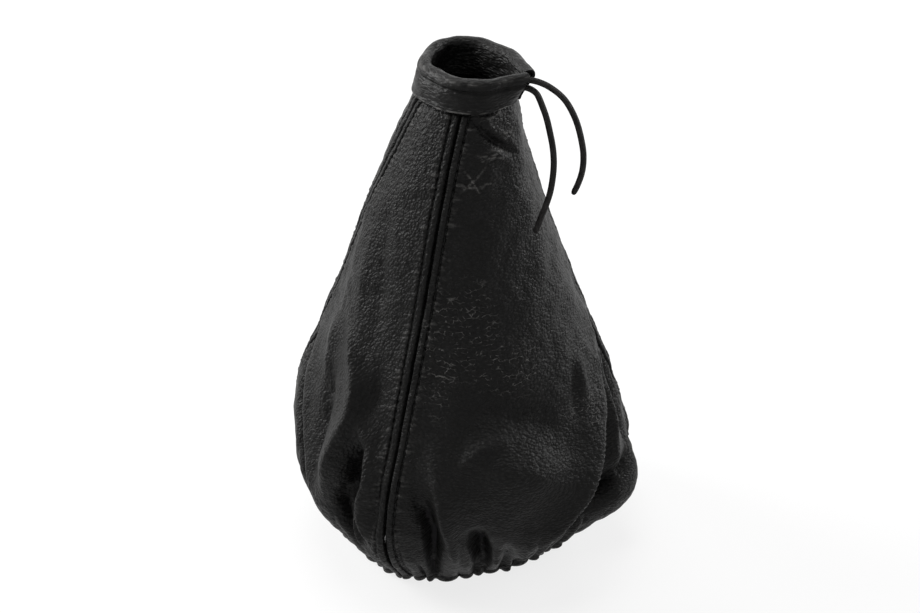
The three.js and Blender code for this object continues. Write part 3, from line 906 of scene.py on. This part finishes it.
def soft_relief(angle, z):
    """All that's wider than the seams' own relief: folds, pleats over the hem, uneven lie"""
    lobe, run = ruffle_at(angle)
    fade = np.exp(-np.maximum(z - PINCH_HEIGHT, 0) / run)
    base = skin(angle, z)
    folds = crease_relief(angle, z)
    high, size, seed = CRUSHED_BUMPS
    crushed = np.clip(-folds / 6, 0, 1) * high * wobble(base, size, seed)
    uneven = (bumps(base, PANEL_BUMPS) + crushed) * below_collar(z)
    return uneven + (lobe - 0.7) * RUFFLE_DEPTH * fade + folds


def roll_centre(angle):
    """The line along the roll's middle. The caller sets its height."""
    inwards = HEM_ROLL * math.cos(math.radians(HEM_START))
    return skin(angle, HEM_MEETS) - outwards(angle) * inwards


def roll_points(angle, around, rise=0.0):
    """The ruffled roll round the elastic. around is the turn from straight outwards, and
    rise is how far up the free edge that follows it."""
    lobe, _ = ruffle_at(angle)
    a = np.radians(around)
    slope = math.radians(HEM_EDGE_SLOPE)
    out = mix(CREASED_ROLL, RUFFLE_REACH, lobe) * np.cos(a) + rise * math.cos(slope)
    points = roll_centre(angle) + outwards(angle) * out[..., None]
    points[..., 2] = HEM_ROLL + mix(CREASED_ROLL, HEM_ROLL, np.minimum(lobe, 1)) * np.sin(a)
    points[..., 2] += rise * math.sin(slope)
    return points


def skirt_points(angle, z):
    """The leather above the hem, which is drawn in to the roll at its lower end"""
    points = skin(angle, z) + skin_normal(angle, z) * soft_relief(angle, z)[..., None]
    pinch = np.full(angle.shape[1], PINCH_HEIGHT)
    low = angle[-1]
    relief = soft_relief(low[None], pinch[None])[0]
    ends = skin(low, pinch) + skin_normal(low, pinch) * relief[:, None]
    pull = roll_points(low, np.full(low.shape, ROLL_TOP_TURN)) - ends
    return points + pull[None] * bell(z - PINCH_HEIGHT, PINCH_BLEND)[..., None]


def surface_normals(points):
    """Outward normals of a grid whose rows run down and whose columns run to the right"""
    return unit(np.cross(np.gradient(points, axis=0), np.gradient(points, axis=1)))


def panel_columns():
    """Distances in millimetres beside a seam, and shares of the run between the two seams"""
    strip = np.concatenate([[0.01, 0.3, 0.6, 0.9], np.linspace(1.3, 2.9, 4)])
    near = np.concatenate([strip, np.linspace(3.2, 4.6, 8), np.linspace(5.0, NEAR_SEAM, 14)])
    middle = np.linspace(0, 1, PANEL_COLUMNS - 2 * len(near) + 2)[1:-1]
    return near, middle


def panel_angles(seam_a, seam_b, z):
    """The grid's angles at heights z, and the distances from the two seams"""
    near, middle = panel_columns()
    a = seam_angle(seam_a, z)
    b = seam_angle(seam_b, z)
    b = np.where(b < a, b + 360, b)
    unit_a, unit_b = millimetre(a, z), millimetre(b, z)
    width = np.radians(b - a) * np.maximum(profile(np.minimum(z, NECK_HEIGHT)), NECK_RADIUS)
    squeeze = np.minimum(1, 0.42 * width / NEAR_SEAM)
    left = a[:, None] + near[None, :] * (squeeze * unit_a)[:, None]
    right = b[:, None] - near[None, ::-1] * (squeeze * unit_b)[:, None]
    between = mix(left[:, -1:], right[:, :1], middle[None, :])
    angle = np.concatenate([left, between, right], 1)
    distance_a = (angle - a[:, None]) / unit_a[:, None]
    distance_b = (b[:, None] - angle) / unit_b[:, None]
    across = (angle - (a + b)[:, None] / 2) / (b - a)[:, None] * width[:, None]
    return angle, distance_a, distance_b, across


def leather_shell(node, outer, inner, materials, **marks):
    """A closed shell of leather between two grids. Each mark is a value at each point."""
    points = np.concatenate([outer.reshape(-1, 3), inner[::2, ::2].reshape(-1, 3)])
    faces, sides = shell_faces(*outer.shape[:2])
    attributes = {key: shell_values(grid) for key, grid in marks.items()}
    piece = mesh_object(node + "_leather", points, faces, materials, attributes, sides)
    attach(piece, "root")
    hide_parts(node)
    return piece


def heights(top, bend, high_rows, low_rows):
    """Heights from the top down to the hem's row of stitches, closer below the bend"""
    high = np.linspace(top, bend, high_rows)
    low = np.linspace(bend, PINCH_HEIGHT, low_rows + 1)[1:]
    return np.concatenate([high, low])


def hem_rows():
    """For each row of the hem, its turn round the elastic and its rise up the free edge"""
    turns = np.linspace(ROLL_TOP_TURN, ROLL_END_TURN, HEM_ROWS + 1)[1:]
    around = np.concatenate([turns, np.full(EDGE_ROWS, ROLL_END_TURN)])
    rise = np.concatenate([np.zeros(HEM_ROWS), np.linspace(0, HEM_EDGE, EDGE_ROWS + 1)[1:]])
    return around[:, None], rise[:, None]


def fine_relief(near_a, near_b, height, wrinkles, marks):
    """Relief of the seams, their puckers and holes, the scratches, and the collar's edge"""
    seams = seam_relief(near_a) + seam_relief(near_b)
    holes = stitch_holes(near_a, height) + stitch_holes(near_b, height)
    under_collar = -0.8 * bell(height - NECK_HEIGHT + 1.0, 0.9)
    return (seams + wrinkles + holes + 0.3 * marks) * below_collar(height) + under_collar


def wear_and_light_places(angle, height, last, wrinkles, marks):
    """How pale the leather is painted: real pale scratches, a painted highlight along the puckers'
    ridges, and painted light on the ruffles at the hem, which lie in the belly's shade
    """
    # Painted highlight: paler along the puckers' raised ridges
    pucker_highlight = 0.5 * np.clip(wrinkles * 2.2 - 0.35, 0, 1) * below_collar(height)
    # Painted light: the ruffles just above the hem are made paler, lifting the belly's shade on them
    hem_painted_light = 0.22 * ruffle_at(angle)[0] * np.exp(-(height - PINCH_HEIGHT) / 4.0)
    skirt = np.maximum(np.maximum(pucker_highlight, marks), hem_painted_light)
    # The roll's own rows: painted light, paler on each ruffle
    return np.concatenate([skirt, 0.5 * ruffle_at(last)[0]])


def scuffed_places(angle, height, last):
    """How scuffed the leather is: 0 on the hem's own rows"""
    scuffed = np.zeros(angle.shape)
    for at, up, wide, tall in SCUFFS:
        sideways = turn(angle - at) / millimetre(angle, height)
        scuffed += bell(sideways, wide) * bell(height - up, tall)
    return np.concatenate([scuffed, np.zeros(last.shape)])


def panel_hide(outer, across, last, seed):
    """Where each point lies on the hide, in metres"""
    across = np.concatenate([across, np.broadcast_to(across[-1], last.shape)])
    down = run_along(outer[:, outer.shape[1] // 2])[:, None]
    flat = [across + HIDE_STEP * seed, np.broadcast_to(-down, across.shape), 0 * across]
    return np.stack(flat, -1) * MM


def build_panel(name, seam_a, seam_b, seed, materials):
    z = heights(PANEL_TOP, LOW_START, SKIRT_ROWS, LOW_ROWS)
    angle, near_a, near_b, across = panel_angles(seam_a, seam_b, z)
    height = np.broadcast_to(z[:, None], angle.shape)
    around, rise = hem_rows()
    last = np.broadcast_to(angle[-1], (len(around), angle.shape[1]))
    wrinkles = puckers(near_a, height, seed) + puckers(near_b, height, seed + 1)
    marks = scratch_marks(angle, height)
    dip = 0.5 * (seam_relief(near_a[-1:]) + seam_relief(near_b[-1:]))
    fine = fine_relief(near_a, near_b, height, wrinkles, marks)
    fine = np.concatenate([fine, np.broadcast_to(dip, last.shape)])
    nearest = np.minimum(near_a, near_b)
    thickness = np.where(nearest < SEAM_ALLOWANCE, DOUBLED_LEATHER, LEATHER)
    thickness = np.concatenate([thickness, np.full(last.shape, LEATHER)])
    grain_face = np.concatenate([skirt_points(angle, height), roll_points(last, around, rise)])
    normals = surface_normals(grain_face)
    outer = grain_face + normals * fine[..., None]
    inner = grain_face - normals * thickness[..., None]
    piece = leather_shell(
        name,
        outer,
        inner,
        materials,
        hide=panel_hide(outer, across, last, seed),
        worn=wear_and_light_places(angle, height, last, wrinkles, marks),
        scuffed=scuffed_places(angle, height, last),
    )


# Rows of stitches
def sampled(values, along, at):
    """Vectors between those of a path, at other distances along it"""
    return np.stack([np.interp(at, along, values[:, k]) for k in range(3)], 1)


def stitch_row(node, path, out, material, sunk):
    """Separate stitches along a path that lies on the leather. out is the way off it."""
    along = run_along(path)
    count = int(along[-1] / STITCH_PITCH)
    share, high = np.array(STITCH_SHAPE).T
    lift = (high * THREAD_RADIUS - sunk)[:, None]
    points, faces, hide = [], [], []
    for i in range(count):
        at = (i + 0.5) * along[-1] / count + share * STITCH_PITCH
        normal = unit(sampled(out, along, at))
        centre = sampled(path, along, at) + normal * lift
        ahead = unit(np.gradient(centre, axis=0))
        across = unit(np.cross(ahead, normal))
        over = np.cross(across, ahead)
        rings, places = tube_rings(centre, across, over, at, THREAD_RADIUS, STITCH_SIDES)
        faces += tube_faces(len(at), STITCH_SIDES, first=i * len(at) * STITCH_SIDES)
        points.append(rings)
        hide.append(places)
    points, hide = np.concatenate(points), np.concatenate(hide)
    piece = mesh_object(node + "_thread", points, faces, [material], {"hide": hide})
    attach(piece, "root")
    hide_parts(node)


def add_topstitching(material):
    z = heights(NECK_HEIGHT - 1.0, TOPSTITCH_BEND, *TOPSTITCH_POINTS)
    aside = np.array([-0.3, 0.0, 0.3])[None, :]
    for seam in SEAMS:
        for side, word in ((-1, "left"), (1, "right")):
            centre = seam_angle(seam, z)
            angle = centre + side * TOPSTITCH_OFFSET * millimetre(centre, z)
            grid = skirt_points(angle[:, None] + aside, np.broadcast_to(z[:, None], (len(z), 3)))
            normals = surface_normals(grid)[:, 1]
            path = grid[:, 1] + normals * seam_relief(np.float64(TOPSTITCH_OFFSET))
            stitch_row(f"{seam}_topstitch_{word}", path, normals, material, sunk=0.05)


def add_hem_stitching(material):
    shape = (3, HEM_STITCH_POINTS)
    angle = np.broadcast_to(np.linspace(0, 360, HEM_STITCH_POINTS), shape)
    z = np.array([PINCH_HEIGHT + 0.9, PINCH_HEIGHT + 0.45, PINCH_HEIGHT])
    grid = skirt_points(angle, np.broadcast_to(z[:, None], shape))
    stitch_row("hem_stitching", grid[1], surface_normals(grid)[1], material, sunk=0.05)


# Collar: one strip of leather folded over the top edge and the lace
def collar_angles(gap, count):
    """Angles from one side of the slit round to the other, closer together beside it"""
    half = gap / 2 * millimetre(SLIT_ANGLE, COLLAR_TOP)
    t = np.linspace(0, 1, count)
    eased = t - 0.6 * np.sin(2 * np.pi * t) / (2 * np.pi)
    return SLIT_ANGLE + half + eased * (360 - 2 * half)


def collar_section(inset):
    """The strip's section as [out of the panels' face, height], from the outer leaf's lower
    edge over the roll to the inner leaf's lower edge. inset is how far below the grain."""
    roll = ROLL_RADIUS - inset
    leaf = np.linspace(NECK_HEIGHT, ROLL_HEIGHT - 0.4, LEAF_ROWS)
    outer = [(LEAF_OUT - inset, h) for h in leaf]
    turns = np.linspace(0, math.pi, ROLL_ROWS)
    arc = [(ROLL_MIDDLE + roll * math.cos(a), ROLL_HEIGHT + roll * math.sin(a)) for a in turns]
    start = arc[-1][0]
    end = LEAF_IN + inset
    lower = []
    for h in np.linspace(ROLL_HEIGHT - 0.8, NECK_HEIGHT - 1.5, INNER_LEAF_ROWS):
        share = min(1.0, (ROLL_HEIGHT - h) / (ROLL_HEIGHT - PANEL_TOP))
        lower.append((mix(start, end, share * share * (3 - 2 * share)), h))
    return np.array(outer + arc + lower)


def collar_points(section, angle):
    """The section carried round the neck. The crest is a little higher at the back."""
    out, z = section[:, :1], section[:, 1:]
    climb = np.clip((z - NECK_HEIGHT) / COLLAR_HEIGHT, 0, 1)
    z = z + COLLAR_BACK_RISE * bell(turn(angle - 180), 70)[None, :] * climb
    angle = np.broadcast_to(angle, z.shape)
    normals = skin_normal(angle, np.maximum(z, NECK_HEIGHT))
    return skin(angle, z) + normals * out[..., None]


def collar_relief(outer, angle):
    """A line under the lace, a flared lower edge, and an uneven lie"""
    height = collar_section(0.0)[:, 1:]
    outside = np.arange(len(outer))[:, None] < LEAF_ROWS
    dent = -1.2 * bell(height - CORD_LINE, 0.75) * (0.75 + 0.25 * np.cos(np.radians(angle)))
    flare = 0.45 * bell(height - NECK_HEIGHT, 1.2)
    return bumps(outer, COLLAR_BUMPS) + (dent + flare) * outside


def collar_wear_and_highlight(outer):
    """Pale along both of the strip's cut edges from wear, and along the roll's outer upper side a
    painted highlight line
    """
    row = np.arange(len(outer))[:, None]
    # The middle term, two rows round the roll's outer upper side, is a painted highlight line
    edges = 0.8 * (row < 2) + 0.4 * bell(row - (LEAF_ROWS + 5), 2.0) + 0.7 * (row > len(outer) - 3)
    return edges * np.clip(0.6 + 0.9 * wobble(outer, 4.0, 23), 0, 1)


def build_collar(materials):
    angle = collar_angles(SLIT_GAP, COLLAR_COLUMNS)
    outer = collar_points(collar_section(0.0), angle)
    inner = collar_points(collar_section(COLLAR_LEATHER), angle)
    shift = unit(outer - inner) * collar_relief(outer, angle)[..., None]
    outer = outer + shift
    inner = inner + shift
    around, down = run_along(outer[0])[None, :], run_along(outer[:, 0])[:, None]
    row = np.arange(len(outer))[:, None]
    piece = leather_shell(
        "collar",
        outer,
        inner,
        materials,
        hide=np.stack(np.broadcast_arrays(around, down, np.zeros((1, 1))), -1) * MM,
        worn=collar_wear_and_highlight(outer),
        scuffed=bell(turn(angle - 165), 16)[None, :] * bell(row - len(outer) + 12, 8),
    )


def add_collar_stitching(material):
    angle = collar_angles(SLIT_GAP + 3.0, COLLAR_STITCH_POINTS)
    z = np.full(COLLAR_STITCH_POINTS, NECK_HEIGHT + 1.2)
    normals = skin_normal(angle, z)
    path = skin(angle, z) + normals * (LEAF_OUT - 0.1)
    stitch_row("collar_stitching", path, normals, material, sunk=0.1)


def add_hidden_lace(material):
    angle = collar_angles(SLIT_GAP + TUNNEL_FIT, HIDDEN_CORD_POINTS)
    path = collar_points(np.array([[ROLL_MIDDLE, ROLL_HEIGHT]]), angle)[0]
    piece = tube_mesh("lace_inside_collar", path, LACE_RADIUS, LACE_SIDES, material)
    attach(piece, "root")
    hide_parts("lace_in_collar")


def add_elastic(material):
    path = roll_centre(np.linspace(0, 360, HIDDEN_CORD_POINTS, endpoint=False))
    path[..., 2] = HEM_ROLL
    piece = tube_mesh("elastic_in_hem", path, ELASTIC_RADIUS, ELASTIC_SIDES, material, ring=True)
    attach(piece, "root")
    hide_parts("hem_elastic")


# Floor, light and world
def seen_rays(tree):
    """1 for the rays that show the background: camera, glossy and transmission rays"""
    path = add_node(tree, "ShaderNodeLightPath", {}).outputs
    mirrored = math_node(tree, "MAXIMUM", path["Is Glossy Ray"], path["Is Transmission Ray"])
    return math_node(tree, "MAXIMUM", path["Is Camera Ray"], mirrored)


def add_floor():
    """A matt pale floor that looks almost white to the camera"""
    bpy.ops.mesh.primitive_plane_add(size=FLOOR_SIZE, location=(0, 0, 0))
    floor = bpy.context.object
    floor.name = "floor"
    material, tree, shader = new_material("pale_floor")
    looks = {"Base Color": (FLOOR_TONE, FLOOR_TONE, FLOOR_TONE, 1), "Roughness": 0.9}
    set_inputs(tree, shader, {**looks, "Specular IOR Level": 0.1})
    white = add_node(tree, "ShaderNodeEmission", {"Strength": 1.0})
    share = product(tree, seen_rays(tree), FLOOR_GLOW)
    inputs = {0: share, 1: shader.outputs[0], 2: white.outputs[0]}
    shown = add_node(tree, "ShaderNodeMixShader", inputs)
    set_inputs(tree, tree.nodes["Material Output"], {"Surface": shown.outputs[0]})
    floor.data.materials.append(material)


def add_lamp(name, place, size, power):
    data = bpy.data.lights.new(name, "AREA")
    data.size = size
    data.energy = power
    light = bpy.data.objects.new(name, data)
    light.location = place
    light.rotation_euler = (Vector(LAMP_AIM) - Vector(place)).to_track_quat("-Z", "Y").to_euler()
    bpy.context.collection.objects.link(light)


def add_light():
    """A white sky that lights weakly, and the lamps"""
    scene = bpy.context.scene
    scene.view_settings.view_transform = "Standard"
    world = bpy.data.worlds.new("studio")
    scene.world = world
    world.use_nodes = True
    tree = world.node_tree
    strength = ramp(tree, seen_rays(tree), 0.0, 1.0, SKY_LIGHT, 1.0)
    set_inputs(tree, tree.nodes["Background"], {"Color": (1, 1, 1, 1), "Strength": strength})
    for name, place, size, power in LAMPS:
        add_lamp(name, place, size, power)


add_camera()
lace = cut_lace()
add_lace_end("lace_end_long", "lace_long_end", LONG_END, lace)
add_lace_end("lace_end_short", "lace_short_end", SHORT_END, lace)
flesh = flesh_side()
thread = sewing_thread()
front_grain = grain_leather("leather_front", (1.2, 1.8, 1), grain=0.65)
side_grain = grain_leather("leather_sides", (1.7, 1.3, 1), grain=0.55)
collar_grain = grain_leather("leather_collar", (0.6, 1.7, 1), grain=0.5, creased=0.2)
build_panel("front_right_panel", "front", "right", 1, [front_grain, flesh])
build_panel("back_right_panel", "right", "back", 3, [side_grain, flesh])
build_panel("back_left_panel", "back", "left", 5, [side_grain, flesh])
build_panel("front_left_panel", "left", "front", 7, [side_grain, flesh])
add_topstitching(thread)
add_hem_stitching(thread)
build_collar([collar_grain, flesh])
add_collar_stitching(thread)
add_hidden_lace(lace)
add_elastic(covered_elastic())
add_floor()
add_light()
